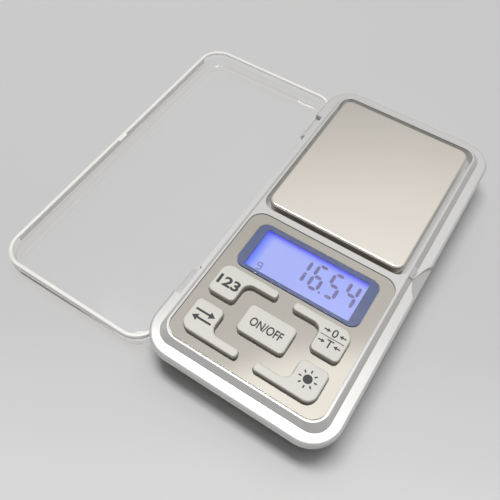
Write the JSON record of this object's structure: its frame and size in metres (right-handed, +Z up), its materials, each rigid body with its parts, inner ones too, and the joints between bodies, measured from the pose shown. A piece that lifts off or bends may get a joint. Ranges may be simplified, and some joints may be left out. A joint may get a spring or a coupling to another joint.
{
  "type": "digital coin scale",
  "caption": "Flat pocket scale with a raised steel weighing pan, a lit display, sprung keys and a clear cover hinged along one side.",
  "frame": {"origin": "centre of the case's flat underside, between the feet", "axes": "+Y along the case from the keys to the weighing pan, +X away from the cover's hinge, +Z up"},
  "size_m": [0.1164, 0.12, 0.0178],
  "materials": {
    "white_shell": "smooth white moulded plastic with a soft shine",
    "lower_shell": "fine grained white moulded plastic",
    "faceplate": "champagne satin anodised sheet",
    "window": "clear acrylic with a slate blue printed border",
    "display": "liquid crystal cell lit from behind in pale blue",
    "light_guide": "clear acrylic light guide",
    "connector_rubber": "silicone connector strip",
    "circuit_board": "green solder mask on glass fibre board",
    "resin": "black cast resin",
    "screw_steel": "nickel plated steel",
    "ribbon": "flat flexible lead",
    "beam": "milled aluminium",
    "potting": "white silicone",
    "cell_jacket": "plain blue printed steel jacket",
    "contact_plate": "nickel plated spring steel",
    "foot_rubber": "moulded rubber",
    "pan_steel": "satin stainless sheet with a very fine grain",
    "carrier": "moulded plastic",
    "key": "pearl painted moulded plastic",
    "clear_cover": "clear moulded polystyrene"
  },
  "bodies": {
    "case": {"upper_case": "white_shell", "lower_case": "lower_shell", "faceplate": "faceplate", "lcd_window": "window", "lcd_glass": "display", "backlight": "light_guide", "zebra_strip": "connector_rubber", "main_board": "circuit_board", "controller_chip": "resin", "board_screws": "screw_steel", "key_board": "circuit_board", "key_domes": "screw_steel", "board_ribbon": "ribbon", "cell_ribbon": "ribbon", "load_cell": "beam", "gauge_cover": "potting", "load_cell_screws": "screw_steel", "battery_near": "cell_jacket", "battery_far": "cell_jacket", "positive_contacts": "contact_plate", "negative_contacts": "contact_plate", "feet": "foot_rubber", "case_screws": "screw_steel"},
    "lid": {"lid": "clear_cover"},
    "key_count": {"key_count": "key"},
    "key_mode": {"key_mode": "key"},
    "key_power": {"key_power": "key"},
    "key_tare": {"key_tare": "key"},
    "key_light": {"key_light": "key"},
    "pan": {"weighing_pan": "pan_steel", "pan_support": "carrier", "pan_screws": "screw_steel"},
    "door": {"battery_door": "lower_shell"}
  },
  "joints": [
    {"name": "lid_hinge", "type": "hinge", "parent": "case", "child": "lid", "pos_m": [-0.0286, 0, 0.0094], "axis": [0, 1, 0], "range_deg": [0, 180]},
    {"name": "key_count_press", "type": "slide", "parent": "case", "child": "key_count", "axis": [0, 0, -1], "range_m": [0, 0.0005], "stiffness_N_per_m": 1500},
    {"name": "key_mode_press", "type": "slide", "parent": "case", "child": "key_mode", "axis": [0, 0, -1], "range_m": [0, 0.0005], "stiffness_N_per_m": 1500},
    {"name": "key_power_press", "type": "slide", "parent": "case", "child": "key_power", "axis": [0, 0, -1], "range_m": [0, 0.0005], "stiffness_N_per_m": 1500},
    {"name": "key_tare_press", "type": "slide", "parent": "case", "child": "key_tare", "axis": [0, 0, -1], "range_m": [0, 0.0005], "stiffness_N_per_m": 1500},
    {"name": "key_light_press", "type": "slide", "parent": "case", "child": "key_light", "axis": [0, 0, -1], "range_m": [0, 0.0005], "stiffness_N_per_m": 1500},
    {"name": "pan_load", "type": "slide", "parent": "case", "child": "pan", "axis": [0, 0, -1], "range_m": [0, 0.0003], "stiffness_N_per_m": 16000, "deforming": ["load_cell"]},
    {"name": "door_slide", "type": "slide", "parent": "case", "child": "door", "axis": [1, 0, 0], "range_m": [0, 0.052]}
  ]
}
